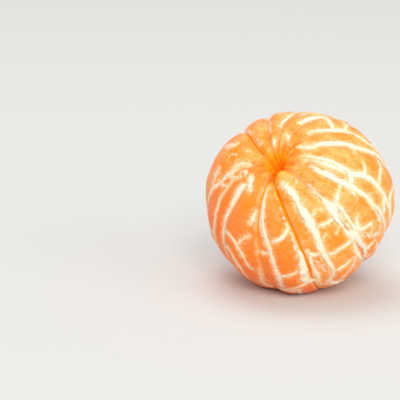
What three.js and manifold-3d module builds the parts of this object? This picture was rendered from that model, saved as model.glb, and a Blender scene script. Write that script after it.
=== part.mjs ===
// A peeled mandarin at its real size, in millimetres, +Z up, resting on its own small flat spot.
// Twelve segments stand side by side round a narrow hollow core. Most touch, and three seams have opened.
// Pith strands run from end to end of the fruit, in the grooves between segments or on a segment's back.
// The fruit leans, so that the dimple where the segments meet looks forwards, upwards and to the left.
import * as THREE from 'three';
import { mergeVertices } from 'three/addons/utils/BufferGeometryUtils.js';
import Module from 'manifold-3d';

const wasm = await Module();
wasm.setup();

// How the fruit lies: its axis leans this far from upright, towards this heading (0 is +X, 90 is +Y).
const LEAN_DEG = 44;
const HEADING_DEG = 240;
const FLAT_DEPTH = 1.8; // how far its own weight flattens it where it rests

// The upper half of a segment's outline, seen side on: distance from the fruit's axis, then height along
// the axis. It runs from the equator over the top into the dimple and down the core, and the lower half
// mirrors it. A station is a place on the whole outline, counted in these points: 0 is the equator, 4 the
// top shoulder and -4 the bottom shoulder.
const UPPER_OUTLINE = [
  [29.0, 0], [27.3, 8.8], [22.6, 16.2], [16.0, 21.4], [9.8, 23.2], [4.6, 22.3], [2.4, 17.5], [1.9, 7.0],
];
const GIRTH_RADIUS = UPPER_OUTLINE[0][0];
const HALF_HEIGHT = Math.max(...UPPER_OUTLINE.map(([out, up]) => up));
const WALL_CENTRE = 13; // distance from the axis of the middle of a segment's side wall
const BULGE = 0.035; // how much the back falls away towards its two edges
const TOUCHING_GAP = 0.3; // between the walls of two segments that touch

// One row for each seam, going round: its bearing at the top and at the bottom in degrees (0 is the side
// that the fruit leans to), how far it stands open at the back, and how square the edges are beside it.
const SEAMS = [
  { top: 1, bottom: 0, open: 0.7, square: 8 },
  { top: 32, bottom: 33, open: 1.0, square: 7 },
  { top: 64, bottom: 65, open: 0, square: 12 },
  { top: 87, bottom: 89, open: 0, square: 12 },
  { top: 122, bottom: 125, open: 0, square: 12 },
  { top: 141, bottom: 134, open: 0, square: 12 },
  { top: 166, bottom: 160, open: 0, square: 12 },
  { top: 190, bottom: 188, open: 0, square: 12 },
  { top: 211, bottom: 212, open: 0, square: 14 },
  { top: 234, bottom: 237, open: 0.4, square: 10 },
  { top: 295, bottom: 297, open: 0, square: 14 },
  { top: 328, bottom: 330, open: 0, square: 12 },
];

// Each segment's girth as a share of the fruit's. The first segment lies between the first two seams.
const GIRTHS = [0.995, 0.985, 0.985, 1.01, 1.0, 0.99, 0.985, 0.985, 0.99, 0.995, 0.96, 0.97];

// The pith strands. A strand in a groove follows its seam, and one on the back of a segment, given as
// back, follows bearings of its own. Each runs between two stations of the outline.
const STRAND_RADIUS = 0.5;
const GROOVE_LIFT = 0.05; // of a strand's centre above the outline, over a seam
const BACK_LIFT = STRAND_RADIUS + 0.35; // the same, on a segment's back
const STRANDS = [
  { name: 'pith_strand_01', back: 0, top: 7, bottom: 11, from: 3.7, to: -0.4 },
  { name: 'pith_strand_02', back: 1, top: 45, bottom: 43, from: 4.0, to: -1.2 },
  { name: 'pith_strand_03', seam: 2, from: 3.5, to: -3.4 },
  { name: 'pith_strand_04', seam: 3, from: 3.7, to: -3.6 },
  { name: 'pith_strand_05', back: 3, top: 100, bottom: 98, from: 3.4, to: -3.0 },
  { name: 'pith_strand_06', seam: 4, from: 4.1, to: -3.6 },
  { name: 'pith_strand_07', seam: 5, from: 3.6, to: -3.6 },
  { name: 'pith_strand_08', seam: 6, from: 3.5, to: -3.6 },
  { name: 'pith_strand_09', seam: 7, from: 3.6, to: -3.6 },
  { name: 'pith_strand_10', seam: 8, from: 2.2, to: -3.6 },
  { name: 'pith_strand_11', seam: 10, from: 3.6, to: -3.4 },
  { name: 'pith_strand_12', back: 10, top: 311, bottom: 317, from: 2.7, to: -2.2 },
  { name: 'pith_strand_13', seam: 11, from: 4.0, to: -1.5 },
];

// How finely the solids are faceted.
const ROUND_OUTLINE = 28;
const ACROSS_BACK = 16;
const STRAND_STEPS = 24;
const STRAND_SIDES = 6;

const rad = THREE.MathUtils.degToRad;
const lerp = THREE.MathUtils.lerp;
const lowerOutline = UPPER_OUTLINE.slice(1).reverse().map(([out, up]) => [out, -up]);
const outlinePoints = [...UPPER_OUTLINE, ...lowerOutline].map(([out, up]) => new THREE.Vector3(out, up, 0));
const outline = new THREE.CatmullRomCurve3(outlinePoints, true, 'catmullrom', 0.5);

const membrane = new THREE.MeshStandardMaterial({ color: 0xff9a3a, roughness: 0.35, metalness: 0 });
const pith = new THREE.MeshStandardMaterial({ color: 0xfff2dc, roughness: 0.7, metalness: 0 });

// The leaning fruit's frame, from upright. The table's height is found once the segments are made.
const lean = new THREE.Matrix4().makeRotationZ(rad(HEADING_DEG))
  .multiply(new THREE.Matrix4().makeRotationY(rad(LEAN_DEG)));

// The point at a station of the closed outline.
function outlineAt(station) {
  const share = station / outlinePoints.length;
  return outline.getPoint(share - Math.floor(share));
}

// The bearing of a seam or strand at a height along the axis, in radians.
function bearingAt(line, up) {
  const share = THREE.MathUtils.clamp(0.5 - up / (2 * HALF_HEIGHT), 0, 1);
  return rad(lerp(line.top, line.bottom, share));
}

// A point on a segment. Station goes round its outline. Across goes from the middle of one side wall,
// at -90 degrees, over the back, at 0, to the middle of the other, at 90.
function segmentPoint(index, station, across) {
  const left = SEAMS[index];
  const right = SEAMS[(index + 1) % SEAMS.length];
  const square = across < 0 ? left.square : right.square;
  const cos = Math.abs(Math.cos(across));
  const sin = Math.abs(Math.sin(across));
  const reach = Math.pow(Math.pow(cos, square) + Math.pow(sin, square), -1 / square);
  const side = Math.sign(across) * reach * sin;
  const size = reach * cos * (1 - BULGE * side * side);
  const edge = outlineAt(station);
  const out = WALL_CENTRE + size * (edge.x * GIRTHS[index] - WALL_CENTRE);
  const up = size * edge.y;
  const start = bearingAt(left, up);
  let end = bearingAt(right, up);
  if (end < start) end += 2 * Math.PI;
  const middle = (start + end) / 2;
  const open = across < 0 ? left.open : right.open;
  const gap = (TOUCHING_GAP + open * Math.pow(out / GIRTH_RADIUS, 2)) / 2;
  const turn = side * (end - start) / 2;
  const along = out * Math.cos(turn);
  const sideways = out * Math.sin(turn) - side * gap;
  return new THREE.Vector3(
    along * Math.cos(middle) - sideways * Math.sin(middle),
    along * Math.sin(middle) + sideways * Math.cos(middle),
    up);
}

// A sphere whose poles are the middles of the two side walls, moved point by point onto the segment.
function segmentGeometry(index) {
  const geometry = new THREE.SphereGeometry(1, ROUND_OUTLINE, ACROSS_BACK);
  const position = geometry.attributes.position;
  const point = new THREE.Vector3();
  for (let i = 0; i < position.count; i++) {
    point.fromBufferAttribute(position, i).normalize();
    const across = Math.asin(THREE.MathUtils.clamp(point.y, -1, 1));
    const round = Math.atan2(point.z, point.x) / (2 * Math.PI);
    const moved = segmentPoint(index, round * outlinePoints.length, across);
    position.setXYZ(i, moved.x, moved.y, moved.z);
  }
  return geometry.applyMatrix4(lean);
}

// The girth that a strand lies on: its own segment's, or the mean of the two beside its seam.
function girthUnder(strand) {
  if ('back' in strand) return GIRTHS[strand.back];
  return (GIRTHS[strand.seam] + GIRTHS[(strand.seam + GIRTHS.length - 1) % GIRTHS.length]) / 2;
}

// The centre line of a strand, just clear of the backs of the segments beside it.
function strandPath(strand) {
  const line = 'seam' in strand ? SEAMS[strand.seam] : strand;
  const lift = 'seam' in strand ? GROOVE_LIFT : BACK_LIFT;
  const points = [];
  for (let i = 0; i <= STRAND_STEPS; i++) {
    const station = lerp(strand.from, strand.to, i / STRAND_STEPS);
    const edge = outlineAt(station);
    const ahead = outlineAt(station + 0.01);
    const behind = outlineAt(station - 0.01);
    const along = new THREE.Vector2(ahead.x - behind.x, ahead.y - behind.y).normalize();
    const out = edge.x * girthUnder(strand) + along.y * lift;
    const up = edge.y - along.x * lift;
    const bearing = bearingAt(line, up);
    points.push(new THREE.Vector3(out * Math.cos(bearing), out * Math.sin(bearing), up).applyMatrix4(lean));
  }
  return new THREE.CatmullRomCurve3(points);
}

function strandGeometry(strand) {
  const section = new THREE.Shape();
  for (let i = 0; i < STRAND_SIDES; i++) {
    const turn = 2 * Math.PI * i / STRAND_SIDES;
    const x = STRAND_RADIUS * Math.cos(turn);
    const y = STRAND_RADIUS * Math.sin(turn);
    if (i === 0) section.moveTo(x, y);
    else section.lineTo(x, y);
  }
  section.closePath();
  return new THREE.ExtrudeGeometry(section, { steps: STRAND_STEPS, extrudePath: strandPath(strand) });
}

// A closed mesh as a manifold-3d solid, and back.
function solidOf(geometry) {
  const bare = new THREE.BufferGeometry().setAttribute('position', geometry.attributes.position);
  if (geometry.index) bare.setIndex(geometry.index);
  const merged = mergeVertices(bare, 1e-4);
  return new wasm.Manifold(new wasm.Mesh({
    numProp: 3,
    vertProperties: merged.attributes.position.array,
    triVerts: new Uint32Array(merged.index.array),
  }));
}

function geometryOf(solid) {
  const mesh = solid.getMesh();
  const geometry = new THREE.BufferGeometry();
  geometry.setAttribute('position', new THREE.BufferAttribute(mesh.vertProperties, 3));
  geometry.setIndex(new THREE.BufferAttribute(mesh.triVerts, 1));
  geometry.computeVertexNormals();
  return geometry;
}

// Lifts a geometry so that the table is at height 0.
function onTable(geometry, tableHeight) {
  return geometry.translate(0, 0, -tableHeight);
}

const segments = SEAMS.map((seam, index) => segmentGeometry(index));
for (const geometry of segments) geometry.computeBoundingBox();
const lowest = Math.min(...segments.map((geometry) => geometry.boundingBox.min.z));
const tableHeight = lowest + FLAT_DEPTH;

const tableSize = 4 * GIRTH_RADIUS;
const table = solidOf(new THREE.BoxGeometry(tableSize, tableSize, tableSize).translate(0, 0, -tableSize / 2));

const mandarin = new THREE.Group();
segments.forEach((geometry, index) => {
  const placed = solidOf(onTable(geometry, tableHeight));
  const mesh = new THREE.Mesh(geometryOf(placed.subtract(table)), membrane);
  mesh.name = 'segment_' + String(index + 1).padStart(2, '0');
  mandarin.add(mesh);
});
for (const strand of STRANDS) {
  const mesh = new THREE.Mesh(onTable(strandGeometry(strand), tableHeight), pith);
  mesh.name = strand.name;
  mandarin.add(mesh);
}

// The origin is on the table, under the middle of the whole fruit's box.
const box = new THREE.Box3().setFromObject(mandarin);
mandarin.position.set(-(box.min.x + box.max.x) / 2, -(box.min.y + box.max.y) / 2, 0);

export default mandarin;
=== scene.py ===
import itertools
import math
from collections import namedtuple

import bmesh
import bpy
import numpy as np
from mathutils import Matrix, Vector


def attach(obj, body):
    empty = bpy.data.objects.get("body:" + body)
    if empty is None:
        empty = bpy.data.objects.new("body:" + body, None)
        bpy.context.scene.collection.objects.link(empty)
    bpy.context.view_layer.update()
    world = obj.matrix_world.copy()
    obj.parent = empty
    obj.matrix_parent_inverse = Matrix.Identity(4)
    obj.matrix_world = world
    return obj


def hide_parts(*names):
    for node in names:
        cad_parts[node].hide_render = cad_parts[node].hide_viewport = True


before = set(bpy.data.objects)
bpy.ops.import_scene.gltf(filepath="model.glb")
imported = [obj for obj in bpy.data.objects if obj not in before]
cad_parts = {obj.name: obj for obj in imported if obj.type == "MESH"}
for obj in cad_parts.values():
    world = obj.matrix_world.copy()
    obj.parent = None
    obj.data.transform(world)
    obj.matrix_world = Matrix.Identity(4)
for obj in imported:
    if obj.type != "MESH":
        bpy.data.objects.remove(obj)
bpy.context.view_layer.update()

MM = 0.001


# ---- Camera ---------------------------------------------------------------------------------------
# A long lens looks down on the fruit from in front. It aims to the left of the fruit, so that the
# fruit stands in the right half of the picture.

FRUIT_CENTRE = Vector((-0.44, 0.41, 25.67)) * MM
CAMERA_ELEVATION = math.radians(15)
CAMERA_DISTANCE = 520 * MM
PICTURE_WIDTH = 400  # pixels
PIXELS_PER_MM = 3.31  # at the fruit
FRUIT_PIXEL = (297.3, 201.6)  # where the fruit's centre falls in the picture, from its top left

camera_right = Vector((1, 0, 0))
camera_up = Vector((0, math.sin(CAMERA_ELEVATION), math.cos(CAMERA_ELEVATION)))
camera_back = Vector((0, -math.cos(CAMERA_ELEVATION), math.sin(CAMERA_ELEVATION)))
right_of_middle = (FRUIT_PIXEL[0] - PICTURE_WIDTH / 2) / PIXELS_PER_MM * MM
below_middle = (FRUIT_PIXEL[1] - PICTURE_WIDTH / 2) / PIXELS_PER_MM * MM
aim = FRUIT_CENTRE - camera_right * right_of_middle + camera_up * below_middle

camera = bpy.data.objects.new("camera", bpy.data.cameras.new("camera"))
bpy.context.scene.collection.objects.link(camera)
camera.data.sensor_width = 36
lens_in_pixels = PIXELS_PER_MM * (CAMERA_DISTANCE / MM)
camera.data.lens = camera.data.sensor_width * lens_in_pixels / PICTURE_WIDTH
camera.data.clip_start = 0.01
camera.location = aim + camera_back * CAMERA_DISTANCE
camera.rotation_euler = Matrix((camera_right, camera_up, camera_back)).transposed().to_euler()
bpy.context.scene.camera = camera


# ---- Studio ---------------------------------------------------------------------------------------
# A plain pale table top in a bright plain room. A large soft light stands in front, above the
# camera, with weaker ones overhead and at the right.

class Shade:
    """An output of a shader node. Arithmetic on it adds Math nodes; node() adds any other node."""

    def __init__(self, tree, socket=None):
        self.tree = tree
        self.socket = socket

    def node(self, kind, settings=None, sockets=None, output=0):
        made = self.tree.nodes.new(kind)
        for name, value in (settings or {}).items():
            setattr(made, name, value)
        for name, value in (sockets or {}).items():
            target = made.inputs[name]
            if isinstance(value, Shade):
                self.tree.links.new(value.socket, target)
            else:
                target.default_value = value
        return Shade(self.tree, made.outputs[output])

    def maths(self, operation, *values):
        return self.node("ShaderNodeMath", {"operation": operation}, dict(enumerate(values)))

    def __add__(self, other):
        return self.maths("ADD", self, other)

    def __sub__(self, other):
        return self.maths("SUBTRACT", self, other)

    def __rsub__(self, other):
        return self.maths("SUBTRACT", other, self)

    def __mul__(self, other):
        return self.maths("MULTIPLY", self, other)

    __radd__ = __add__
    __rmul__ = __mul__

    def over(self, low, high):
        """0 below low and 1 above high, with a smooth step between them."""
        return self.node("ShaderNodeMapRange", {"interpolation_type": "SMOOTHSTEP"},
                         {"Value": self, "From Min": low, "From Max": high})

    def mix(self, first, second):
        """The first colour where this is 0 and the second where it is 1."""
        return self.node("ShaderNodeMix", {"data_type": "RGBA"}, {0: self, 6: first, 7: second},
                         output=2)

    def attribute(self, name):
        return self.node("ShaderNodeAttribute", {"attribute_name": name}, output="Fac")

    def place(self):
        """Object coordinates in millimetres."""
        coordinates = self.node("ShaderNodeTexCoord", output="Object")
        return self.node("ShaderNodeMapping", None, {"Vector": coordinates, "Scale": [1 / MM] * 3})

    def speckle(self, vector, scale, detail=2, roughness=0.5):
        return self.node("ShaderNodeTexNoise", None, {
            "Vector": vector, "Scale": scale, "Detail": detail, "Roughness": roughness})


def new_finish(name, constants):
    """A new material, its shade to build on, and its Principled node with the given constants."""
    material = bpy.data.materials.new(name)
    material.use_nodes = True
    surface = material.node_tree.nodes["Principled BSDF"]
    for socket, value in constants.items():
        surface.inputs[socket].default_value = value
    return material, Shade(material.node_tree), surface


FLOOR_SIZE = 12  # metres
FLOOR_COLOR = (0.66, 0.655, 0.64, 1)
floor_bm = bmesh.new()
bmesh.ops.create_grid(floor_bm, x_segments=1, y_segments=1, size=FLOOR_SIZE / 2)
floor_mesh = bpy.data.meshes.new("floor")
floor_bm.to_mesh(floor_mesh)
floor_bm.free()
floor = bpy.data.objects.new("floor", floor_mesh)
bpy.context.scene.collection.objects.link(floor)
floor_material, _, _ = new_finish("table_top", {
    "Base Color": FLOOR_COLOR, "Roughness": 0.8, "Specular IOR Level": 0})
floor.data.materials.append(floor_material)


def softbox(name, place, size, power):
    """A square light of that size in metres and power in watts, aimed at the fruit."""
    lamp = bpy.data.objects.new(name, bpy.data.lights.new(name, "AREA"))
    bpy.context.scene.collection.objects.link(lamp)
    lamp.data.size = size
    lamp.data.energy = power
    lamp.location = place
    lamp.rotation_euler = (Vector(place) - FRUIT_CENTRE).to_track_quat("Z", "Y").to_euler()


softbox("front", (0.16, -2.40, 1.67), 1.5, 50)
softbox("overhead", (-0.20, 0.40, 1.50), 1.0, 9)
softbox("right", (1.20, -0.90, 0.50), 1.0, 6)

ROOM_BRIGHTNESS = 0.60
world = bpy.data.worlds.new("room")
bpy.context.scene.world = world
world.use_nodes = True
room = world.node_tree.nodes["Background"]
room.inputs["Color"].default_value = (1, 1, 1, 1)
room.inputs["Strength"].default_value = ROOM_BRIGHTNESS
bpy.context.scene.view_settings.view_transform = "Standard"


# ---- Segments -------------------------------------------------------------------------------------
# Twelve closed skins, thin and moist, each full of juice sacs that show through as a faint grain.
# They grew pressed side by side round a hollow core. Three seams have opened, and the lowest side
# lies flat.

LEAN = math.radians(44)  # of the fruit's axis from upright
HEADING = math.radians(240)  # that it leans to, counterclockwise from +X

# Distance from the axis and height along it, in millimetres, from the equator over the top into
# the dimple and down the core. The lower half mirrors it. A station counts these points from the
# equator.
UPPER_OUTLINE = np.array([
    (29.0, 0), (27.3, 8.8), (22.6, 16.2), (16.0, 21.4), (9.8, 23.2), (4.6, 22.3), (2.4, 17.5),
    (1.9, 7.0)])
GIRTH_RADIUS = UPPER_OUTLINE[0][0]
HALF_HEIGHT = UPPER_OUTLINE[:, 1].max()
WALL_CENTRE = 13  # distance from the axis of the middle of a segment's side wall
BULGE = 0.05  # how much a back falls away towards its edges
TOUCHING_GAP = 0.02
OPENING_DEPTH = 9  # the power that an opening narrows with, towards the middle of the side wall
OPENING_END = 0.3  # stations that an opening takes to close at either end
BEND_DEPTH = 0.7  # a bend dies out from this share of the way to the skin down to the wall's middle

# A seam's bearings at the top and bottom, the squareness of the edges along it, how it bends aside,
# as degrees at stations, and its opening in millimetres, with the two stations that it is open
# between.
Seam = namedtuple("Seam", "top bottom square bend open open_from open_to",
                  defaults=[[(0, 0)], 0, 0, 0])
SEAMS = [
    Seam(1, 0, 24, [(3.2, 0), (3.9, 2), (4.6, 5)], 1.0, 1.2, 4.4),
    Seam(32, 33, 26, [(-1.5, -6), (-0.2, -3.5), (0.3, -2), (0.8, -1.6), (2.0, -1.4), (2.6, -3),
                      (3.2, -4.5), (4.3, -10)], 2.0, 0.2, 3.9),
    Seam(64, 65, 30), Seam(87, 89, 40), Seam(122, 125, 36), Seam(141, 134, 36), Seam(166, 160, 30),
    Seam(190, 188, 22), Seam(211, 212, 30),
    Seam(234, 237, 28, [(2.2, 0), (3.2, 2), (4.3, 8), (4.7, 11)], 0.9, 1.8, 4.8),
    Seam(295, 297, 32), Seam(328, 330, 32)]
# Each segment's girth as a share of the fruit's, and how much further out its top shoulder stands.
# The first segment lies between the first two seams.
GIRTHS = np.array([0.995, 0.985, 0.985, 1.02, 1.0, 0.985, 0.985, 0.985, 0.99, 0.985, 0.955, 0.97])
CRESTS = np.array([0, 0, 0, 0, 0, 0, 0, 0, 0, 0.05, 0, 0])
CREST_STATION, CREST_REACH = 3.0, 1.2  # where that shoulder is, and how far it spreads
EVENED_FROM = 0.4  # the share of the way to a seam from where a segment evens out with the next

outline = np.vstack((UPPER_OUTLINE, UPPER_OUTLINE[:0:-1] * (1, -1)))
fruit_axes = np.array([
    (math.cos(LEAN) * math.cos(HEADING), math.cos(LEAN) * math.sin(HEADING), -math.sin(LEAN)),
    (-math.sin(HEADING), math.cos(HEADING), 0),
    (math.sin(LEAN) * math.cos(HEADING), math.sin(LEAN) * math.sin(HEADING), math.cos(LEAN))])


def step(low, high, value):
    """0 at low and 1 at high, with a smooth step between them."""
    share = np.clip((value - low) / (high - low), 0, 1)
    return share * share * (3 - 2 * share)


def smooth_between(before, start, end, after, part):
    """The smooth curve through four points, at that part of the way from start to end."""
    cubic = 3 * (start - end) + after - before
    square = 2 * before - 5 * start + 4 * end - after + part * cubic
    return start + part / 2 * (end - before + part * square)


def outline_at(station):
    """The point of the closed outline at each station, on a smooth curve through its points."""
    index = np.floor(station).astype(int)
    part = (station - index)[..., None]
    before, start, end, after = (
        outline[(index + ahead) % len(outline)] for ahead in (-1, 0, 1, 2))
    return smooth_between(before, start, end, after, part)


def bearing_at(seam, up, station, size=1.0):
    """The bearing of a seam at a height and station, size of the way from its wall to the skin."""
    across = (seam.bottom - seam.top) * np.clip(0.5 - up / (2 * HALF_HEIGHT), 0, 1)
    stations, degrees = zip(*seam.bend)
    return seam.top + across + np.interp(station, stations, degrees) * step(0, BEND_DEPTH, size)


def openness(seam, station):
    """How open a seam is at each station, from 0 to 1."""
    opening = step(seam.open_from - OPENING_END, seam.open_from, station)
    return opening * step(-seam.open_to - OPENING_END, -seam.open_to, -station)


def edge_at(index, side, station):
    """The outline at each station of a segment, evened out with its neighbours' at its seams."""
    neighbour = (index + np.sign(side).astype(int)) % len(SEAMS)
    share = step(EVENED_FROM, 1.0, np.abs(side)) / 2
    girth = GIRTHS[index] * (1 - share) + GIRTHS[neighbour] * share
    crest = CRESTS[index] * (1 - share) + CRESTS[neighbour] * share
    crest = 1 + crest * np.exp(-((station - CREST_STATION) / CREST_REACH) ** 2)
    edge = outline_at(station)
    out = WALL_CENTRE + (edge[:, 0] * girth - WALL_CENTRE) * crest
    return np.stack((out, edge[:, 1] * crest), axis=1)


FLAT_SPOT_ROUNDING = 0.3  # millimetres over which the skin rounds into its flat spot


def on_table(points):
    """Moves points of the upright fruit, in millimetres, to the fruit on the table, in metres."""
    placed = points @ fruit_axes + np.array(FRUIT_CENTRE) / MM
    height = placed[:, 2]
    placed[:, 2] = (height + np.sqrt(height ** 2 + FLAT_SPOT_ROUNDING ** 2)) / 2
    return placed * MM


BALL_CUTS = 3  # in each edge of the coarse ball


def round_ball(name, round_count, across_count):
    """A closed ball, and each vertex's share of the way round it and -1 to 1 from pole to pole."""
    bm = bmesh.new()
    bmesh.ops.create_uvsphere(bm, u_segments=round_count // (BALL_CUTS + 1),
                              v_segments=across_count // (BALL_CUTS + 1), radius=1)
    bmesh.ops.subdivide_edges(bm, edges=bm.edges[:], cuts=BALL_CUTS, use_grid_fill=True)
    mesh = bpy.data.meshes.new(name)
    bm.to_mesh(mesh)
    bm.free()
    place = np.empty(len(mesh.vertices) * 3)
    mesh.vertices.foreach_get("co", place)
    place = place.reshape(-1, 3)
    place /= np.linalg.norm(place, axis=1, keepdims=True)
    turn = np.arctan2(-place[:, 1], place[:, 0]) / (2 * np.pi)
    across = np.arcsin(np.clip(place[:, 2], -1, 1)) / (np.pi / 2)
    return mesh, turn, across


def write_floats(mesh, name, values):
    mesh.attributes.new(name, "FLOAT", "POINT").data.foreach_set("value", values.astype(np.float32))


def add_piece(mesh, points, material):
    """Puts the vertices at points, in metres, and makes the mesh a smooth object."""
    mesh.vertices.foreach_set("co", points.ravel())
    mesh.polygons.foreach_set("use_smooth", [True] * len(mesh.polygons))
    mesh.materials.append(material)
    mesh.update()
    piece = bpy.data.objects.new(mesh.name, mesh)
    bpy.context.scene.collection.objects.link(piece)
    return piece


def wander(points, size, seed):
    """Smooth noise from -1 to 1, over features of that size, at each point."""
    cells = 32
    grid = np.random.default_rng(seed).uniform(-1, 1, (cells, cells, cells))
    corner = np.floor(points / size).astype(int)
    part = step(0, 1, points / size - corner)
    total = np.zeros(len(points))
    for ahead in itertools.product((0, 1), repeat=3):
        share = np.where(ahead, part, 1 - part).prod(axis=1)
        total += share * grid[tuple(((corner + ahead) % cells).T)]
    return total


def near_skin(distance):
    """0 deep in the fruit and 1 near its skin, by the distance from its centre."""
    return step(0.5, 0.9, distance / GIRTH_RADIUS)


LARGE_SWELL, LARGE_SWELL_SIZE, LARGE_SWELL_SEED = 0.45, 11, 100  # height and width in millimetres
SMALL_SWELL, SMALL_SWELL_SIZE, SMALL_SWELL_SEED = 0.12, 3.5, 101


def undulate(points):
    """The gentle rise and fall of the skin: points of the upright fruit moved in or out."""
    distance = np.linalg.norm(points, axis=1)
    swell = (LARGE_SWELL * wander(points, LARGE_SWELL_SIZE, LARGE_SWELL_SEED)
             + SMALL_SWELL * wander(points, SMALL_SWELL_SIZE, SMALL_SWELL_SEED))
    return points * (1 + swell * near_skin(distance) / distance)[:, None]


OUTSIDE_STATION = 4.7  # the stations within this of the equator are the outside of the fruit
OUTSIDE_SHARE = 0.8  # of a segment's columns that lie there
BACK_SHARE = 0.8  # of its rows that lie on its back, not on its side walls
BACK_EDGE = 0.985  # where the back's rows end, as a share of the way to the seam
ROW_SPACING = 0.32  # millimetres
COLUMNS = 300
WALL_ROWS = 26
WALL_CROWDING = 1.5  # the power that a wall's rows crowd towards its edge with
DIMPLE_SQUARE = 50  # how much squarer the edges beside every seam grow towards the dimple
SQUARING_STATIONS = (2.6, 4.4)


def segment_surface(index, turn, across):
    """Points of a segment, with side, -1 to 1 from one seam to the other, and station at each."""
    left, right = SEAMS[index], SEAMS[(index + 1) % len(SEAMS)]
    outer = np.abs(turn) * 2 / OUTSIDE_SHARE
    inner = (np.abs(turn) * 2 - OUTSIDE_SHARE) / (1 - OUTSIDE_SHARE)
    inside_stations = len(outline) / 2 - OUTSIDE_STATION
    station = np.sign(turn) * np.where(
        outer < 1, outer * OUTSIDE_STATION, OUTSIDE_STATION + inner * inside_stations)
    open_share = np.where(across < 0, openness(left, station), openness(right, station))
    opening = open_share * np.where(across < 0, left.open, right.open)
    square = np.where(across < 0, left.square, right.square)
    square = square + DIMPLE_SQUARE * step(*SQUARING_STATIONS, np.abs(station))
    back = np.abs(across) / BACK_SHARE
    wall = np.clip((np.abs(across) - BACK_SHARE) / (1 - BACK_SHARE), 0, 1) ** WALL_CROWDING
    edge_size = (1 - BACK_EDGE ** square) ** (1 / square)
    wall_size = edge_size * (1 - wall)
    side = np.where(back < 1, back * BACK_EDGE, (1 - wall_size ** square) ** (1 / square))
    back_size = (1 - (back.clip(0, 1) * BACK_EDGE) ** square) ** (1 / square)
    size = np.where(back < 1, back_size, wall_size)
    size = size * (1 - BULGE * side ** 2)
    side = side * np.sign(across)
    edge = edge_at(index, side, station)
    out = WALL_CENTRE + size * (edge[:, 0] - WALL_CENTRE)
    up = size * edge[:, 1]
    start, end = bearing_at(left, up, station, size), bearing_at(right, up, station, size)
    end = np.where(end < start, end + 360, end)
    gap = (TOUCHING_GAP + opening * size ** OPENING_DEPTH) / 2
    turned = np.radians(side * (end - start) / 2)
    along = out * np.cos(turned)
    sideways = out * np.sin(turned) - side * gap
    middle = np.radians((start + end) / 2)
    points = np.stack((along * np.cos(middle) - sideways * np.sin(middle),
                       along * np.sin(middle) + sideways * np.cos(middle), up), axis=1)
    return undulate(points), side, station


SAC_PALE = (1.0, 0.51, 0.16, 1)
SAC_DEEP = (1.0, 0.26, 0.018, 1)
# Painted shade with reflected orange light: redder flesh lower down and in the left segments.
RED_SHADE_FLESH = (1.0, 0.18, 0.015, 1)
CREVICE_SHADE_FLESH = (1.0, 0.36, 0.01, 1)  # painted shade, down in a seam or the dimple
HOLE_SHADE_FLESH = (1.0, 0.14, 0.001, 1)  # darker painted shade, down in the core
PAINTED_CREVICE_GLOW = (0.80, 0.27, 0.005, 1)  # painted glow, emitted, standing in for light that has come through the flesh on either side
PITH_COLOR = (0.93, 0.79, 0.61, 1)
FILM_COLOR = (1.0, 0.64, 0.32, 1)  # flesh under a thin film of pith
RED_SHADE_BELOW, RED_SHADE_PER_MM = 22, 0.02  # flesh lower than this above the table gets a little more of that painted shade
SAC_SCALE, SAC_BEND = 0.7, 1.6  # sacs in a millimetre, and how far their edges bend
MOST_RIM_FILM, MOST_FILM, MOST_PITH = 0.55, 0.7, 0.9  # how opaque each gets
RELIEF = 0.3 * MM

segment_material, shade, surface = new_finish("segment_membrane", {
    "Roughness": 0.42, "IOR": 1.33, "Specular IOR Level": 0.16, "Subsurface Weight": 0.12,
    "Subsurface Scale": 0.0025, "Subsurface Radius": (1.0, 0.35, 0.10), "Coat Weight": 0.3,
    "Coat Roughness": 0.14, "Coat IOR": 1.33, "Emission Strength": 1.0})
# The flesh: sacs under a slow drift from pale to deep, redder with painted shade and reflected
# orange light in some segments and lower down, paler under the film along the seams, and deep
# with painted shade in the seams, the dimple and the core.
place = shade.place()
height = shade.node("ShaderNodeSeparateXYZ", None, {"Vector": place}, output="Z")
drift = shade.speckle(place, 0.22, 3)
mottle = shade.speckle(place, 0.9, 3, 0.6)
warp = shade.node("ShaderNodeTexNoise", None, {"Vector": place, "Scale": 0.6, "Detail": 1},
                  output="Color")
bent = shade.node("ShaderNodeVectorMath", {"operation": "MULTIPLY_ADD"},
                  {0: warp, 1: [SAC_BEND] * 3, 2: place})
sacs = shade.node("ShaderNodeTexVoronoi", {"feature": "DISTANCE_TO_EDGE"},
                  {"Vector": bent, "Scale": SAC_SCALE})
paleness = drift * 0.7 + mottle * 0.22 + sacs.over(0.0, 0.3) * 0.1
flesh = paleness.over(0.34, 0.8).mix(SAC_DEEP, SAC_PALE)
red_shade = shade.attribute("red_shade_share") + (RED_SHADE_BELOW - height) * RED_SHADE_PER_MM
flesh = (red_shade + drift - 0.5).over(0.0, 1.3).mix(flesh, RED_SHADE_FLESH)
rim_film = shade.attribute("rim") * drift.over(0.3, 0.6) * MOST_RIM_FILM
# Painted shade: deep orange in the seams and the dimple, darker still in the core.
crevice_shade_color = shade.attribute("hole_shade").mix(CREVICE_SHADE_FLESH, HOLE_SHADE_FLESH)
flesh = shade.attribute("crevice_shade").mix(rim_film.mix(flesh, FILM_COLOR), crevice_shade_color)
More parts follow.
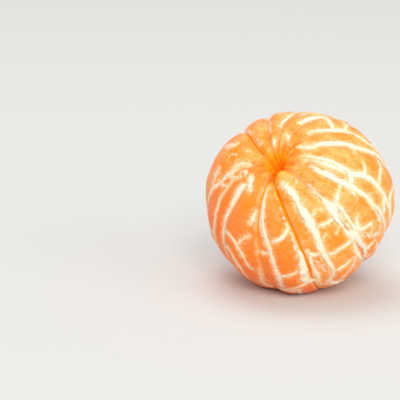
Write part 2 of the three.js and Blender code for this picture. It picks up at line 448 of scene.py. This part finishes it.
# The pith over it: torn wisps that run along each strand, and mottled films, some of them painted
# highlights.
reach = shade.attribute("reach")
wisps = shade.node("ShaderNodeCombineXYZ", None,
                   {0: shade.attribute("along") * 1.1 + reach, 1: reach * 0.5})
wisp = shade.speckle(wisps, 1.0, 3, 0.6)
fray = shade.speckle(place, 3.0, 3, 0.7)
pith_share = (reach + (wisp - 0.5) * 1.9 + (fray - 0.5) * 1.0).over(-0.5, 0.5) * MOST_PITH
fringe = (reach + (wisp - 0.5) * 3.0 + (mottle - 0.5) * 3.0).over(-1.6, 0.4) * MOST_FILM
film_and_highlight = shade.attribute("film_and_highlight") + (mottle - 0.5) * 3.5 + (fray - 0.5) * 2.0
filmed = (film_and_highlight.over(0.0, 1.1) * MOST_FILM).mix(fringe.mix(flesh, FILM_COLOR), PITH_COLOR)
color = pith_share.mix(filmed, PITH_COLOR)
shade.tree.links.new(color.socket, surface.inputs["Base Color"])
# The painted glow: emitted colour in the seams and at the dimple's edge.
painted_glow = shade.attribute("painted_glow").mix((0, 0, 0, 1), PAINTED_CREVICE_GLOW)
shade.tree.links.new(painted_glow.socket, surface.inputs["Emission Color"])
bumps = sacs.over(0.0, 0.25) * 0.35 + mottle * 0.5 + fray * pith_share * 0.8
bump = shade.node("ShaderNodeBump", None, {"Height": bumps, "Strength": 0.25, "Distance": RELIEF})
shade.tree.links.new(bump.socket, surface.inputs["Normal"])

Segment = namedtuple("Segment", "mesh points side station")
segments = []
for index, seam in enumerate(SEAMS):
    following = SEAMS[(index + 1) % len(SEAMS)]
    width = math.radians((following.top - seam.top) % 360) * GIRTH_RADIUS
    rows = int(width / ROW_SPACING / BACK_SHARE) // 2 * 2 + WALL_ROWS
    mesh, turn, across = round_ball(f"mandarin_segment_{index + 1:02d}", COLUMNS, rows)
    points, side, station = segment_surface(index, turn, across)
    segments.append(Segment(mesh, points, side, station))


# ---- Pith -----------------------------------------------------------------------------------------
# Off-white strands of soft fibre that carried sap to the segments. They ran under the peel from
# end to end, and cross links, spurs and thin films of the same stuff cling between them.

SKIN_DIP = 0.12  # how far a strand sags into a seam, in millimetres
DIP_SIDE = 0.93  # the share of the way to a seam from where it sags
VALLEY = 0.2  # how far a strand presses into a segment
PRESS = 1.3  # the share of that depth that a strand lies down in its valley
NEARBY = 0.01  # stations, to measure which way the outline goes


def outline_ahead(station):
    """How the outline moves on from NEARBY before each station to NEARBY after it."""
    return outline_at(station + NEARBY) - outline_at(station - NEARBY)


def skin(bearing, station, lift=0.0, press=PRESS):
    """Points on the fruit's skin, or lifted off it, in the upright fruit in millimetres."""
    edge = outline_at(station)
    ahead = outline_ahead(station)
    ahead = ahead / np.linalg.norm(ahead, axis=-1, keepdims=True)
    starts = np.array([bearing_at(seam, edge[:, 1], station) for seam in SEAMS])
    past = (bearing - starts) % 360  # the degrees on from each seam
    index = past.argmin(axis=0)
    side = past.min(axis=0) / (past.min(axis=0) + 360 - past.max(axis=0)) * 2 - 1
    dip = SKIN_DIP * step(DIP_SIDE, 1.0, np.abs(side)) + VALLEY * press
    size = 1 - BULGE * side ** 2
    edge = edge_at(index, side, station)
    out = WALL_CENTRE + size * (edge[:, 0] - WALL_CENTRE) + ahead[:, 1] * (lift - dip)
    up = size * edge[:, 1] - ahead[:, 0] * (lift - dip)
    turned = np.radians(bearing)
    return undulate(np.stack((out * np.cos(turned), out * np.sin(turned), up), axis=1))


def smooth_route(route, count):
    """Bearing, station and width at count places along a smooth curve through a route's points."""
    knots = np.array(route, float)
    knots = np.vstack((2 * knots[0] - knots[1], knots, 2 * knots[-1] - knots[-2]))
    at = np.linspace(1, len(knots) - 2, count).clip(1, len(knots) - 2 - 1e-9)
    index = at.astype(int)
    part = (at - index)[:, None]
    before, start, end, after = (knots[index + ahead] for ahead in (-1, 0, 1, 2))
    curve = smooth_between(before, start, end, after, part)
    widths = start[:, 2], end[:, 2]
    curve[:, 2] = curve[:, 2].clip(np.minimum(*widths), np.maximum(*widths))
    return curve


# The main strands: bearing, station and width in millimetres at points along each, from the dimple
# down.
MAIN_STRANDS = [
    [(9, 4.1, 0.4), (8, 3.5, 0.8), (7, 3.1, 1.0), (7, 2.4, 0.9), (8, 2.1, 1.0), (10, 1.7, 1.0),
     (11, 1.1, 0.8), (11, 0.6, 0.8), (11, 0.3, 1.0), (9, -0.3, 0.7)],
    [(38, 4.0, 1.2), (43, 3.5, 1.9), (45, 3.1, 1.8), (44, 2.7, 1.6), (45, 2.3, 2.5),
     (45, 2.0, 2.4), (45, 1.7, 1.9), (44, 1.4, 1.9), (43, 0.9, 1.8), (43, 0.6, 1.4), (43, 0, 1.2),
     (42, -0.3, 1.0), (38, -0.7, 1.1), (42, -1.2, 0.8)],
    [(64, 3.0, 0.8), (65, 2.5, 0.8), (65, 2.2, 2.3), (65, 1.9, 2.9), (63, 1.6, 2.1),
     (63, 1.3, 0.8), (63, 0.9, 1.2), (65, 0.6, 3.0), (66, 0.3, 1.8), (66, 0, 1.3), (67, -0.3, 1.5),
     (66, -0.7, 1.2), (65, -1.6, 0.9), (65, -3.4, 0.8)],
    [(92, 3.7, 0.4), (89, 3.4, 1.2), (87, 3.1, 1.8), (87, 2.8, 2.0), (87, 2.3, 1.8),
     (88, 1.8, 1.6), (89, 1.3, 1.1), (88, 0.7, 0.9), (89, 0.4, 1.0), (88, -0.1, 1.2),
     (88, -0.7, 1.1), (87, -1.1, 0.9), (89, -3.6, 0.8)],
    [(98, 4.0, 0.5), (101, 3.4, 0.6), (100, 2.8, 0.8), (98, 2.3, 1.3), (96, 2.1, 1.7),
     (99, 1.8, 1.7), (100, 1.6, 1.8), (100, 1.2, 1.5), (99, 0.9, 1.3), (98, 0.5, 1.1),
     (96, 0.2, 0.9), (96, -0.1, 1.5), (94, -0.7, 0.7), (97, -1.6, 0.7), (98, -3.0, 0.7)],
    [(130, 4.2, 0.5), (124, 3.9, 1.0), (124, 3.2, 1.1), (124, 2.7, 1.2), (124, 2.2, 1.2),
     (123, 1.8, 1.1), (124, 1.2, 1.1), (125, 0.7, 1.2), (124, 0.1, 1.1), (124, -0.8, 1.0),
     (125, -3.6, 0.8)],
    [(147, 3.4, 0.6), (146, 3.1, 0.6), (144, 2.8, 0.9), (142, 2.4, 1.2), (142, 2.0, 1.3),
     (140, 1.7, 1.2), (138, 1.2, 0.7), (137, 0, 1.0), (134, -3.6, 0.8)],
    [(170, 3.1, 1.0), (169, 2.8, 1.4), (168, 2.4, 1.5), (166, 2.0, 1.3), (164, 1.4, 0.8),
     (163, 0, 0.9), (161, -3.6, 0.8)],
    [(193, 3.5, 0.5), (191, 3.0, 1.0), (190, 2.4, 0.8), (190, 1.0, 0.8), (188, -3.6, 0.8)],
    [(212, 2.2, 0.7), (211, 1.0, 1.0), (213, -0.8, 0.9), (212, -3.6, 0.8)],
    [(291, 3.6, 0.8), (295, 3.3, 1.2), (294, 3.0, 1.1), (296, 2.7, 1.2), (295, 2.4, 1.2),
     (293, 2.0, 0.9), (293, 1.6, 0.7), (295, 1.0, 0.7), (296, 0.5, 1.0), (297, -3.4, 0.8)],
    [(305, 3.4, 0.4), (308, 3.1, 0.5), (310, 2.7, 0.5), (310, 2.4, 0.6), (314, 2.0, 0.7),
     (315, 1.7, 0.8), (317, 1.4, 0.7), (317, 0.4, 0.7), (317, -1.2, 0.6)],
    [(330, 3.9, 0.7), (326, 3.7, 0.6), (325, 3.4, 1.8), (326, 3.1, 1.7), (327, 2.8, 1.5),
     (328, 2.5, 1.1), (327, 2.1, 0.9), (329, 1.0, 0.9), (330, -1.3, 0.7)],
]

pith_material, shade, surface = new_finish("pith", {
    "Roughness": 0.6, "IOR": 1.4, "Subsurface Weight": 0.15, "Subsurface Scale": 0.001,
    "Subsurface Radius": (1.0, 0.7, 0.45), "Coat Weight": 0.15, "Coat Roughness": 0.3,
    "Coat IOR": 1.36})
inset = shade.attribute("inset")
strings = shade.node("ShaderNodeCombineXYZ", None,
                     {0: shade.attribute("along") * 0.5, 1: shade.attribute("across") * 5.0})
fibres = shade.speckle(strings, 1.0, 3, 0.6)
place = shade.place()
blotch = shade.speckle(place, 1.6, 3)
cover = inset * 2.6 + (fibres - 0.5) * 1.8 + (blotch - 0.5) * 1.8
color = cover.over(-0.9, 0.1).mix(SAC_PALE, FILM_COLOR)
color = cover.over(0.0, 1.2).mix(color, PITH_COLOR)
shade.tree.links.new(color.socket, surface.inputs["Base Color"])
bump = shade.node("ShaderNodeBump", None,
                  {"Height": fibres + blotch * 0.5, "Strength": 0.5, "Distance": RELIEF})
shade.tree.links.new(bump.socket, surface.inputs["Normal"])

RING_SPACING = 0.25  # millimetres along a strand
LEAST_RINGS = 8
STRAND_HEIGHT = 0.22  # of a strand 1 mm wide, above the skin, in millimetres
LINK_HEIGHT = 0.30
STRAND_DEPTH = 0.35  # of its underside, below the skin
STRAND_TAPER = 1.2  # millimetres over which each end narrows
BLUNTNESS = 6  # the power that the very ends round off with
EXTRA_WIDTH = 0.35  # for each of the first millimetre of a strand's width, as its edges are faint
RAGGED = 0.3  # the share of its width that an edge wanders by
ROUTE_POINTS, FINE_ROUTE_POINTS = 60, 200


def route_frame(route, count=ROUTE_POINTS):
    """A route's curve, the way across it as bearing and station per millimetre, and its length."""
    curve = smooth_route(route, count)
    edge = outline_at(curve[:, 1])
    per_station = np.linalg.norm(outline_ahead(curve[:, 1]), axis=1) / (2 * NEARBY)
    per_degree = np.radians(1) * edge[:, 0]
    sideways = np.gradient(curve[:, 0]) * per_degree
    along = np.gradient(curve[:, 1]) * per_station
    pace = np.hypot(sideways, along)
    across = np.stack((along / pace / per_degree, -sideways / pace / per_station), axis=1)
    return curve, across, pace.sum()


def strand_mesh(name, route, seed, around=24, height=STRAND_HEIGHT, press=PRESS):
    """A low ragged ribbon of fibres that follows the skin along a route."""
    _, _, length = route_frame(route)
    rings = max(int(length / RING_SPACING), LEAST_RINGS)
    mesh, turn, across = round_ball(name, around, rings)
    curve, aside, _ = route_frame(route, FINE_ROUTE_POINTS)
    share = (1 - across) / 2
    at = share * (len(curve) - 1)
    index = np.minimum(at.astype(int), len(curve) - 2)
    part = (at - index)[:, None]
    middle = curve[index] * (1 - part) + curve[index + 1] * part
    way = aside[index] * (1 - part) + aside[index + 1] * part
    angle = turn * 2 * np.pi
    from_end = (1 - np.abs(across)) / 2 * length
    blunt = np.sqrt(np.clip(1 - np.abs(across) ** BLUNTNESS, 0, 1))
    taper = blunt * step(0, STRAND_TAPER, from_end)
    # Each edge of each strand reads a part of the noise of its own.
    edge_side = np.sign(np.cos(angle))
    where = np.stack((share * length, edge_side * 5 + 20, share * 0 + seed * 4), axis=1)
    fray = wander(where, 0.8, seed) + 0.6 * wander(where, 0.3, seed + 1)
    wide = middle[:, 2] + EXTRA_WIDTH * middle[:, 2].clip(0, 1)
    half = wide / 2 * taper * (1 + RAGGED * fray)
    offset = np.cos(angle) * half
    thick = height * np.sqrt(middle[:, 2].clip(0.05)) * taper
    lift = np.where(np.sin(angle) > 0, np.sin(angle) * thick, np.sin(angle) * STRAND_DEPTH)
    bearing, station = (middle[:, :2] + way * offset[:, None]).T
    points = skin(bearing, station, lift, press)
    write_floats(mesh, "inset", (1 - np.abs(np.cos(angle))) * half)
    write_floats(mesh, "along", share * length)
    write_floats(mesh, "across", offset + seed * 3)
    return mesh, points


pith_routes = []
for number, route in enumerate(MAIN_STRANDS, start=1):
    mesh, points = strand_mesh(f"pith_main_{number:02d}", route, number)
    strand = add_piece(mesh, on_table(points), pith_material)
    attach(strand, "root")
    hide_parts(f"pith_strand_{number:02d}")
    pith_routes.append(route)

# The cross links, spurs and side branches that show on the front, in the same terms.
LINKS = [
    [(14, 1.8, 0.7), (21, 1.9, 1.0), (28, 2.2, 0.9)],
    [(1, 1.3, 0.6), (8, 1.4, 0.5)],
    [(12, 0.4, 0.9), (15, 0.4, 0.6), (19, 0.4, 0.5), (24, 0.5, 0.5)],
    [(358.5, 2.9, 0.4), (357, 2.6, 0.9), (355, 2.4, 0.8)],
    [(321, 4.2, 1.0), (328, 4.1, 1.7), (336, 3.8, 1.5), (343, 3.6, 0.9)],
    [(48, 1.8, 0.8), (55, 1.7, 0.7), (62, 1.7, 1.1)],
    [(44, 0.7, 0.9), (49, 0.6, 0.7), (54, 0.6, 0.7), (62, 0.5, 1.1)],
    [(34, 1.1, 1.3), (37, 0.9, 0.9), (43, 0.9, 0.8)],
    [(44, -0.2, 1.1), (49, -0.2, 1.0), (57, -0.2, 0.5)],
    [(68, 2.1, 0.9), (70, 1.8, 0.9), (69, 1.4, 0.8), (68, 1.0, 0.9), (67, 0.6, 2.0)],
    [(75, 1.1, 0.2), (72, 1.0, 0.9), (70, 0.8, 1.7), (68, 0.6, 2.0)],
    [(68, 0.6, 1.6), (71, 0.6, 1.1), (74, 0.5, 0.8), (78, 0.4, 0.7), (77, 0.2, 0.4)],
    [(75, -0.4, 0.4), (70, -0.4, 1.0), (66, -0.5, 1.3)],
    [(63, 0.4, 1.0), (61, -0.1, 1.0), (63, -1.0, 0.8)],
    [(81, 2.2, 0.3), (75, 2.1, 1.0), (70, 2.0, 1.3)],
    [(86, 2.3, 1.2), (82, 2.2, 0.5)],
    [(97, 2.1, 1.8), (92, 2.0, 1.7), (88, 1.9, 1.7)],
    [(101, 1.6, 1.4), (106, 1.6, 0.7), (110, 1.7, 0.2)],
    [(107, 4.2, 0.4), (103, 3.5, 0.6), (102, 3.0, 0.7), (99, 2.5, 1.0)],
    [(99, 3.6, 0.5), (96, 3.1, 0.7), (96, 2.7, 0.9), (96, 2.3, 1.0)],
    [(122, 0.8, 0.7), (114, 0.8, 0.6), (109, 0.9, 0.6), (101, 0.9, 0.9)],
    [(98, 0.5, 1.1), (95, 0.4, 1.0), (92, 0.2, 0.9), (89, 0, 1.2)],
    [(113, -0.2, 0.6), (106, 0, 1.0), (100, 0.1, 1.6), (96, -0.1, 1.7)],
    [(123, 1.9, 0.7), (116, 2.0, 0.3)],
    [(141, 1.7, 1.2), (134, 1.5, 1.0), (131, 1.2, 0.8), (130, 0.8, 0.9), (130, 0.3, 0.8)],
    [(166, 2.0, 1.3), (158, 2.1, 1.3), (153, 2.2, 1.0), (147, 2.3, 1.0), (142, 2.4, 1.2)],
    [(152, 1.5, 0.7), (147, 1.6, 0.7), (142, 1.9, 1.0)],
    [(173, 2.1, 0.5), (169, 1.7, 0.5), (163, 1.4, 0.4)],
    [(29, 1.4, 0.8), (29, 0.9, 1.3), (28, 0.7, 1.8), (27, 0.4, 2.2), (26, 0.1, 2.2)],
    [(26, 0.1, 2.2), (25, -0.1, 2.0), (28, -0.3, 1.2), (32, -0.4, 1.1)],
    [(35, 1.0, 0.7), (34, 0.8, 0.9), (33, 0.5, 0.8), (33, 0.2, 1.2), (33, -0.1, 1.1),
     (32, -0.4, 1.2)],
    [(28, -0.3, 1.0), (24, -0.3, 0.8), (17, -0.4, 0.5), (11, -0.5, 0.4), (3, -0.7, 0.5)],
    [(197, 4.4, 0.4), (200, 4.6, 0.8), (206, 4.9, 0.4)],
    [(173, 4.1, 0.5), (168, 4.3, 0.7), (166, 4.4, 0.3)],
    [(36, -0.9, 0.9), (40, -1.1, 1.8), (44, -1.3, 0.8)],
    [(49, 2.2, 0.3), (54, 2.3, 0.2), (58, 2.2, 0.2)],
    [(46, 1.3, 0.4), (50, 1.4, 0.2)],
    [(63, 1.4, 0.3), (61, 1.3, 0.3), (57, 1.2, 0.2)],
    # This link follows a bright arc along the top of a lobe: pith, partly a painted highlight.
    [(293, 4.5, 0.3), (289, 4.3, 0.5), (287, 4.0, 0.5), (288, 3.7, 0.6), (291, 3.3, 0.6)],
    [(297, 3.2, 0.6), (305, 3.4, 0.4), (311, 3.7, 0.3)],
    [(296, 2.5, 0.7), (303, 2.7, 0.4), (309, 2.9, 0.5)],
    [(329, 1.6, 0.9), (338, 1.6, 0.6), (344, 1.4, 0.8), (348, 1.1, 0.6), (351, 0.6, 0.5),
     (355, 0.4, 0.3)],
    [(344, 1.4, 0.7), (349, 1.7, 0.4), (354, 1.9, 0.3)],
    [(330, 0.9, 0.8), (337, 1.0, 0.5), (342, 0.4, 0.6), (344, -0.3, 0.3)],
    [(358, 0.5, 0.3), (357, 0.1, 0.5), (355, -0.4, 0.6), (358, -0.7, 0.4)],
]


def add_web(name, routes, seed, pressed=True, **shape):
    """One piece of thin strands along the routes, which press into the segments or only cling."""
    pieces = []
    for number, route in enumerate(routes):
        mesh, points = strand_mesh(f"{name}_{number}", route, seed + number, **shape)
        pieces.append(add_piece(mesh, on_table(points), pith_material))
        if pressed:
            pith_routes.append(route)
    with bpy.context.temp_override(active_object=pieces[0], selected_editable_objects=pieces):
        bpy.ops.object.join()
    web = pieces[0]
    web.name = name
    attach(web, "root")


add_web("pith_front_links", LINKS, 20, around=16, height=LINK_HEIGHT)

# The web goes on round the back and underneath, with a strand down the middle of most segments.
BACK_STRANDS = [
    [(18, -0.6, 0.5), (15, -1.6, 0.6), (17, -3.2, 0.4)],
    [(76, -0.7, 0.5), (78, -1.8, 0.6), (76, -3.2, 0.4)],
    [(108, -0.4, 0.5), (107, -1.5, 0.7), (108, -3.2, 0.4)],
    [(150, 1.4, 0.5), (152, 0.4, 0.8), (149, -1.0, 0.7), (150, -3.0, 0.5)],
    [(178, 2.6, 0.5), (176, 1.2, 1.0), (173, 0.2, 0.7), (175, -1.4, 0.9), (173, -3.1, 0.5)],
    [(199, 2.2, 0.5), (201, 0.8, 0.9), (199, -0.6, 0.6), (200, -2.9, 0.5)],
    [(225, 1.9, 0.5), (223, 0.7, 1.0), (226, -0.7, 0.8), (224, -3.0, 0.5)],
    [(237, 1.6, 0.4), (236, 0.4, 0.9), (238, -1.0, 0.8), (237, -3.5, 0.6)],
    [(254, 0.6, 0.4), (256, -0.5, 0.8), (253, -1.6, 0.9), (256, -3.0, 0.5)],
    [(276, 0.2, 0.4), (273, -0.9, 0.8), (276, -2.0, 0.6), (274, -3.1, 0.4)],
]
add_web("pith_back_strands", BACK_STRANDS, 60, around=20)

# Up to each bearing, the station above which only the listed links cling.
BARE_ABOVE = [(115, -0.5), (190, 1.0), (300, 1.6), (360, -0.5)]
ORDERED_AT = -1.5  # the station where the strands are put in order round the fruit
TRIES_PER_GAP = 6  # at a link between each strand and the next
LINK_STATION, LINK_SLOPE, LINK_SAG = (-3.3, 1.5), (-0.4, 0.4), (-0.15, 0.15)
LINK_WIDTH = (0.3, 0.9)
WIDEST_GAP = 35  # degrees that a link can cross
WHOLE_SHARE = 0.6  # of the links; the others end loose, a part of the way across
LOOSE_REACH, LOOSE_END = (0.25, 0.7), 0.2


def bearing_of(route, station):
    """The bearing of a strand at a station, or at its nearest end."""
    bearings, stations, _ = np.array(route[::-1]).T
    return np.interp(station, stations, bearings)


def passes(route, station):
    return route[-1][1] < station < route[0][1]


def back_links():
    """Cross links between each strand and the next, wherever both pass."""
    lines = sorted(MAIN_STRANDS + BACK_STRANDS, key=lambda route: bearing_of(route, ORDERED_AT))
    for left, right in zip(lines, lines[1:] + lines[:1]):
        for station in rng.uniform(*LINK_STATION, TRIES_PER_GAP):
            slope = rng.uniform(*LINK_SLOPE)
            width, reach, chance = rng.uniform(*LINK_WIDTH), rng.uniform(*LOOSE_REACH), rng.random()
            sag = rng.uniform(*LINK_SAG)
            start, end = bearing_of(left, station), bearing_of(right, station + slope)
            span = (end - start) % 360
            bare_above = next(above for up_to, above in BARE_ABOVE if start % 360 < up_to)
            reaches_both = passes(left, station) and passes(right, station + slope)
            if not reaches_both or station > bare_above or span > WIDEST_GAP:
                continue
            ends_loose = chance > WHOLE_SHARE
            if ends_loose:
                span *= reach
                slope *= reach
            yield [(start, station, width),
                   (start + span / 2, station + slope / 2 + sag, width * 0.7),
                   (start + span, station + slope, LOOSE_END if ends_loose else width)]


rng = np.random.default_rng(5)
add_web("pith_back_links", list(back_links()), 100, around=12, height=LINK_HEIGHT)

FIBRE_SPACING = 3.5  # millimetres along a strand from one loose fibre to the next
FIBRE_TURN = (0.25, 0.9)  # radians off the strand's own way
FIBRE_REACH = (0.4, 1.8)  # millimetres past the strand's edge
FIBRE_WIDTH = (0.12, 0.32)
FIBRE_CURL = (-0.3, 0.3)
FIBRE_END = 0.06
FIBRE_PRESS = 0.2


def loose_fibres(routes):
    """Fine fibres that stray from the strands to either side."""
    for route in routes:
        curve, across, length = route_frame(route)
        forward = np.gradient(curve[:, :2], axis=0) / (length / (ROUTE_POINTS - 1))
        for _ in range(int(length / FIBRE_SPACING)):
            at = rng.integers(2, ROUTE_POINTS - 2)
            stray = rng.uniform(*FIBRE_TURN) * rng.choice((-1, 1))
            way = (forward[at] * math.cos(stray) * rng.choice((-1, 1))
                   + across[at] * math.sin(stray))
            reach = curve[at, 2] / 2 / math.sin(abs(stray)) + rng.uniform(*FIBRE_REACH)
            width = rng.uniform(*FIBRE_WIDTH)
            curl = across[at] * rng.uniform(*FIBRE_CURL)
            start = curve[at, :2]
            yield [(*start, width), (*(start + way * reach * 0.6 + curl), width * 0.8),
                   (*(start + way * reach), FIBRE_END)]


add_web("pith_loose_fibres", list(loose_fibres(MAIN_STRANDS + LINKS)), 400, pressed=False,
        press=FIBRE_PRESS, around=12, height=LINK_HEIGHT)

# Thin films that only pale the segments under them, some of pith and some painted highlights on the
# wet membrane: bearing, station and width.
FILMS_AND_HIGHLIGHTS = [
    [(66, 1.6, 1.9), (65, 1.2, 2.1), (65, 0.8, 2.1)],
    [(26, 3.2, 0.6), (28, 2.4, 0.9), (29, 1.7, 1.1), (29, 1.2, 1.3)],
    [(37, 0.7, 0.5), (38, 0.3, 1.0), (40, -0.1, 0.9)],
    [(50, -0.7, 0.6), (54, -0.9, 0.8), (58, -0.9, 0.5)],
    [(66, 3.4, 0.7), (65, 3.0, 1.1), (64, 2.6, 1.1)],
    [(211, 2.1, 0.9), (208, 3.2, 1.1), (206, 3.9, 0.8)],
    [(86, 1.8, 1.7), (83, 1.5, 0.8)],
    [(101, 3.3, 0.8), (98, 2.8, 1.2), (97, 2.3, 1.8)],
    [(283, 2.6, 2.2), (286, 2.3, 2.2), (289, 2.1, 1.4)],
    [(300, 3.9, 1.6), (310, 4.1, 1.1)],
    [(273, 3.3, 0.5), (273, 3.6, 0.5)],
    [(270, 4.1, 0.4), (260, 4.2, 0.5)],
    [(60, 4.0, 0.7), (58, 3.7, 0.6)],
    [(6, 2.9, 1.2), (5, 2.5, 1.7), (8, 2.0, 1.5)],
    [(10, 1.5, 0.8), (11, 0.9, 1.5), (11, 0.3, 1.8), (9, -0.3, 1.4)],
    # From here to the film at 150 degrees, painted highlights on the wet membrane.
    [(256, 2.4, 1.2), (259, 3.0, 2.4), (256, 3.3, 1.4)],
    [(233, 2.6, 0.6), (232, 3.2, 0.7)],
    [(232, 4.0, 0.5), (231, 4.5, 0.9)],
    [(216, 1.9, 0.7), (212, 1.9, 1.4), (209, 2.9, 0.9)],
    [(196, 4.4, 0.6), (201, 4.6, 1.2)],
    [(172, 4.1, 0.7), (168, 4.3, 0.9)],
    [(158, 4.6, 0.7), (150, 4.5, 0.7)],
    [(28, -0.4, 1.0), (35, -0.9, 1.5), (44, -0.9, 1.7), (54, -0.6, 1.4), (60, -0.3, 1.3),
     (65, -0.4, 1.0)],
    [(69, 0.4, 0.9), (75, 0.0, 1.4), (81, -0.3, 1.4), (85, 0.1, 1.6), (87, 0.6, 1.2),
     (92, 1.2, 1.0)],
    [(347, -0.3, 1.0), (353, -0.5, 1.4), (359, -0.7, 1.6), (367, -0.6, 1.6), (373, -0.6, 1.8),
     (380, -0.6, 1.2)],
]
FARTHEST = 4  # millimetres from a route that its reach is measured to
OUT_OF_REACH = -3.0
ROUTE_SHIFT = 9  # millimetres of pattern between one route and the next


def route_reach(points, routes):
    """How far each point is inside the nearest route's edge, negative outside, and along it."""
    reach = np.full(len(points), OUT_OF_REACH)
    along = np.zeros(len(points))
    for number, route in enumerate(routes):
        curve, _, length = route_frame(route)
        line = skin(curve[:, 0], curve[:, 1])
        low, high = line.min(axis=0) - FARTHEST, line.max(axis=0) + FARTHEST
        near = np.flatnonzero(((points > low) & (points < high)).all(axis=1))
        if not len(near):
            continue
        inside = curve[:, 2] / 2 - np.linalg.norm(points[near, None] - line[None], axis=2)
        best = inside.argmax(axis=1)
        inside = inside[np.arange(len(near)), best]
        closer = inside > reach[near]
        near = near[closer]
        reach[near] = inside[closer]
        along[near] = best[closer] / (ROUTE_POINTS - 1) * length + number * ROUTE_SHIFT
    return reach, along


# The segments are finished now that the strands that press into them are laid. Each takes on where
# the pith lies, how much painted shade and reflected orange light redden it, how deep its painted
# shade turns beside the seams and in the dimple, and where its painted glow shows.
# How much of that painted shade with reflected orange light each segment takes, most on the left.
RED_SHADE_SHARES = [0.62, 0.05, 0, 0.05, 0.1, 0.1, 0, 0.05, 0.2, 0.5, 1.0, 0.7]
# The station where each segment's flesh has turned to its painted shade in the dimple, and how far
# before that the painted shade begins, by a small share slowly and by the rest fast.
DIMPLE_EDGE = [4.4, 4.95, 5.6, 5.6, 5.5, 5.5, 5.5, 5.5, 5.5, 5.8, 5.8, 5.6]
SLOW_TURN, FAST_TURN = 1.4, 0.4
SLOW_SHARE = 0.15
HOLE_SHADE_SHARE = [1.0, 0.3, 0, 0, 0, 0, 0, 0, 0, 0, 0.2, 0.7]  # how far that turns to the darker painted shade of the core
CREVICE_SIDE = (0.985, 0.999)  # the shares of the way to a seam between which painted shade deepens it there
GLOW_SIDE = (0.96, 0.995)  # and between which the painted glow shows
RIM_FADE = 1.6  # millimetres from a seam over which the film along a segment's edges thins away
FILM_SPREAD = 0.5  # millimetres that a film spreads past its route's width
CREVICE_CLEAR = 3  # millimetres that it draws back by in a crevice
# How strong the painted glow is in an open seam, in a closed one at the top and at its weakest, and
# in one down in the dimple.
OPEN_LIGHT, TOP_LIGHT, LEAST_LIGHT, DIMPLE_LIGHT = 0.45, 0.8, 0.16, 0.15
TOP_STATIONS = (1.5, 4.0)  # where the painted glow in a closed seam grows towards the top
HOLE_LIGHT, HOLE_DIMMING = 0.3, 0.55  # painted glow at the dimple's edge, and the share of it that is lost below it
HOLE_LIT_OVER, HOLE_DIMS_OVER = (-0.9, 0), (0, 0.8)  # stations from that edge
LIT_STATIONS = (-4.0, -1.0)  # the painted glow shows in the seams above these

for index, segment in enumerate(segments):
    mesh, points, side, station = segment
    seam, following = SEAMS[index], SEAMS[(index + 1) % len(SEAMS)]
    pith_reach, along = route_reach(points, pith_routes)
    film_and_highlight_reach, _ = route_reach(points, FILMS_AND_HIGHLIGHTS)
    # Painted shade: the flesh turns deep orange beside the seams and in the dimple, darker in the
    # core.
    depth = np.abs(station) - DIMPLE_EDGE[index]
    turned_fast = step(-FAST_TURN, 0, depth)
    dimple_shade = SLOW_SHARE * step(-SLOW_TURN, -FAST_TURN, depth) + (1 - SLOW_SHARE) * turned_fast
    crevice_shade = np.maximum(dimple_shade, step(*CREVICE_SIDE, np.abs(side)))
    width = math.radians((following.top - seam.top) % 360) * GIRTH_RADIUS
    from_seam = (1 - np.abs(side)) * width / 2
    opened = np.where(side < 0, openness(seam, station), openness(following, station))
    closed_light = TOP_LIGHT * step(*TOP_STATIONS, station)
    lit = np.where(opened > 0, OPEN_LIGHT * opened, closed_light).clip(LEAST_LIGHT)
    lit = lit + (DIMPLE_LIGHT - lit) * dimple_shade
    dimming = 1 - HOLE_DIMMING * step(*HOLE_DIMS_OVER, depth)
    hole_lit = HOLE_LIGHT * step(*HOLE_LIT_OVER, depth) * dimming * (1 - HOLE_SHADE_SHARE[index])
    painted_glow = np.maximum(hole_lit, lit * step(*GLOW_SIDE, np.abs(side)))
    for name, values in {
            "reach": pith_reach, "along": along, "crevice_shade": crevice_shade,
            "red_shade_share": np.full(len(points), RED_SHADE_SHARES[index]),
            "hole_shade": HOLE_SHADE_SHARE[index] * turned_fast,
            "rim": step(0, RIM_FADE, RIM_FADE - from_seam),
            "film_and_highlight": film_and_highlight_reach + FILM_SPREAD - CREVICE_CLEAR * crevice_shade,
            "painted_glow": painted_glow * step(*LIT_STATIONS, station)}.items():
        write_floats(mesh, name, values)
    distance = np.linalg.norm(points, axis=1)
    valley = VALLEY * np.exp(-np.minimum(pith_reach, 0) ** 2) * near_skin(distance)
    points = points * (1 - valley / distance)[:, None]
    piece = add_piece(mesh, on_table(points), segment_material)
    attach(piece, "root")
    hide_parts(f"segment_{index + 1:02d}")
